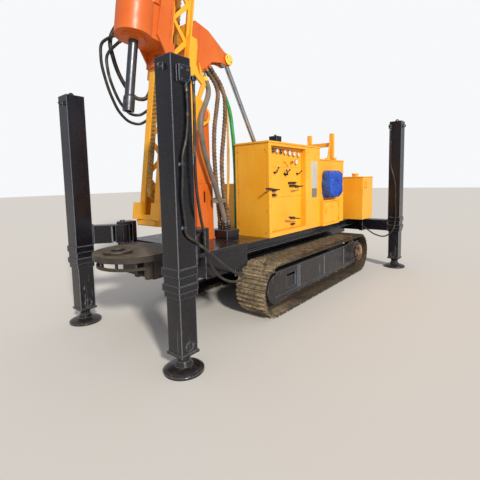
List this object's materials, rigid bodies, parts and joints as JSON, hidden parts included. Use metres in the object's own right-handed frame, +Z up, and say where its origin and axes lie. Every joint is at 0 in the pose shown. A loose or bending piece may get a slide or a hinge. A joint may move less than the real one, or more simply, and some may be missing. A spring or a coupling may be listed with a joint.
{
  "type": "crawler drilling rig",
  "caption": "Crawler rotary drilling rig with a tilting lattice mast on a chain feed, jacking legs at the corners, and a valve console on the left side.",
  "frame": {"origin": "on the ground, at the centre of the bounding box's base", "axes": "+X towards the drill end, +Y to the machine's left where the console is, +Z up"},
  "size_m": [5.5397, 3.16, 7.3418],
  "materials": {
    "yellow_paint": "worn gloss with dust",
    "orange_paint": "worn gloss",
    "black_paint": "semi-gloss with dirt",
    "table_steel": "worn dark paint with dried mud",
    "track_steel": "dry mud on steel",
    "wheel_steel": "greasy dark steel",
    "rod_chrome": "polished",
    "spindle_steel": "oiled steel",
    "engine_grey": "satin",
    "ring_steel": "dull",
    "lever_black": "satin",
    "blue_sheet": "creased plastic sheet",
    "chain_yellow": "greasy paint",
    "hose_rubber": "matt, dusty",
    "hose_wrap": "spiral-wrapped, dusty",
    "hose_green": "faded"
  },
  "bodies": {
    "machine": {"deck_frame": "black_paint", "carbody": "black_paint", "front_box": "black_paint", "rear_beam": "black_paint", "mast_stand": "orange_paint", "drill_table": "table_steel", "table_cover": "ring_steel", "track_frame_left": "black_paint", "track_frame_right": "black_paint", "track_left": "track_steel", "track_right": "track_steel", "track_wheels_left": "wheel_steel", "track_wheels_right": "wheel_steel", "console_cabinet": "yellow_paint", "gauge_panel": "yellow_paint", "control_levers": "lever_black", "engine_hood": "yellow_paint", "hood_side_box": "yellow_paint", "engine_block": "engine_grey", "engine_cover": "yellow_paint", "rear_tank": "yellow_paint", "mast_rest": "yellow_paint", "blue_cover": "blue_sheet", "feed_hose": "hose_wrap", "bundle_front": "hose_wrap", "bundle_back": "hose_wrap", "green_hose": "hose_green"},
    "front_left_arm": {"front_arm_left": "black_paint", "front_leg_left": "black_paint", "leg_hose_front": "hose_rubber", "leg_hose_back": "hose_rubber"},
    "front_right_arm": {"front_arm_right": "black_paint", "front_leg_right": "black_paint"},
    "rear_left_arm": {"rear_arm_left": "black_paint", "rear_leg_left": "black_paint"},
    "rear_right_arm": {"rear_arm_right": "black_paint", "rear_leg_right": "black_paint"},
    "front_left_jack": {"front_jack_left": "black_paint"},
    "front_right_jack": {"front_jack_right": "black_paint"},
    "rear_left_jack": {"rear_jack_left": "black_paint"},
    "rear_right_jack": {"rear_jack_right": "black_paint"},
    "carrier": {"mast_carrier": "yellow_paint", "carrier_head": "orange_paint"},
    "mast": {"mast_beam": "yellow_paint", "mast_foot": "yellow_paint", "mast_crown": "yellow_paint", "feed_chain": "chain_yellow"},
    "head": {"head_carriage": "orange_paint", "head_gearbox": "orange_paint", "head_hose_outer": "hose_rubber", "head_hose_inner": "hose_rubber", "air_hose": "hose_rubber"},
    "drill_spindle": {"spindle": "spindle_steel"},
    "lift_cylinder_barrel": {"lift_barrel": "yellow_paint"},
    "lift_cylinder_rod": {"lift_rod": "rod_chrome"},
    "side_door": {"side_box_door": "yellow_paint"}
  },
  "joints": [
    {"name": "front_left_arm_swing", "type": "hinge", "parent": "machine", "child": "front_left_arm", "pos_m": [2.05, 0.68, 1.1], "axis": [0, 0, 1], "range_deg": [0, 45], "deforming": ["leg_hose_front", "leg_hose_back"]},
    {"name": "rear_left_arm_slide", "type": "slide", "parent": "machine", "child": "rear_left_arm", "axis": [0, 1, 0], "range_m": [-0.3, 0.15]},
    {"name": "front_left_jack_extend", "type": "slide", "parent": "front_left_arm", "child": "front_left_jack", "axis": [0, 0, -1], "range_m": [-0.5, 1]},
    {"name": "rear_left_jack_extend", "type": "slide", "parent": "rear_left_arm", "child": "rear_left_jack", "axis": [0, 0, -1], "range_m": [-0.5, 1]},
    {"name": "front_right_arm_swing", "type": "hinge", "parent": "machine", "child": "front_right_arm", "pos_m": [2.05, -0.68, 1.1], "axis": [0, 0, -1], "range_deg": [0, 45]},
    {"name": "rear_right_arm_slide", "type": "slide", "parent": "machine", "child": "rear_right_arm", "axis": [0, -1, 0], "range_m": [-0.3, 0.15]},
    {"name": "front_right_jack_extend", "type": "slide", "parent": "front_right_arm", "child": "front_right_jack", "axis": [0, 0, -1], "range_m": [-0.5, 1]},
    {"name": "rear_right_jack_extend", "type": "slide", "parent": "rear_right_arm", "child": "rear_right_jack", "axis": [0, 0, -1], "range_m": [-0.5, 1]},
    {"name": "mast_tilt", "type": "hinge", "parent": "machine", "child": "carrier", "pos_m": [1.4, 0, 2.57], "axis": [0, -1, 0], "range_deg": [-8, 87], "deforming": ["feed_hose", "bundle_front", "bundle_back", "green_hose"]},
    {"name": "mast_slide", "type": "slide", "parent": "carrier", "child": "mast", "axis": [-0.1392, 0, 0.9903], "range_m": [-0.1, 0.6]},
    {"name": "head_feed", "type": "slide", "parent": "mast", "child": "head", "axis": [-0.1392, 0, 0.9903], "range_m": [-1.15, 2.8], "deforming": ["head_hose_outer", "head_hose_inner", "air_hose"]},
    {"name": "spindle_turn", "type": "hinge", "parent": "head", "child": "drill_spindle", "pos_m": [2.29124, 0, 2.69526], "axis": [-0.1392, 0, 0.9903], "continuous": true},
    {"name": "lift_barrel_hinge", "type": "hinge", "parent": "machine", "child": "lift_cylinder_barrel", "pos_m": [-0.79, 0, 0.91], "axis": [0, 1, 0], "range_deg": [-3, 20.5]},
    {"name": "lift_rod_slide", "type": "slide", "parent": "lift_cylinder_barrel", "child": "lift_cylinder_rod", "axis": [0.5223, 0, 0.8527], "range_m": [-1.28, 0.13]},
    {"name": "side_door_hinge", "type": "hinge", "parent": "machine", "child": "side_door", "pos_m": [-1.3953, 0.76, 1.18], "axis": [0, 0, 1], "range_deg": [0, 100]}
  ],
  "couplings": [
    {"joint": "lift_barrel_hinge", "follows": "mast_tilt", "ratio": 0.2272},
    {"joint": "lift_rod_slide", "follows": "mast_tilt", "m_per_rad": -0.83038}
  ]
}
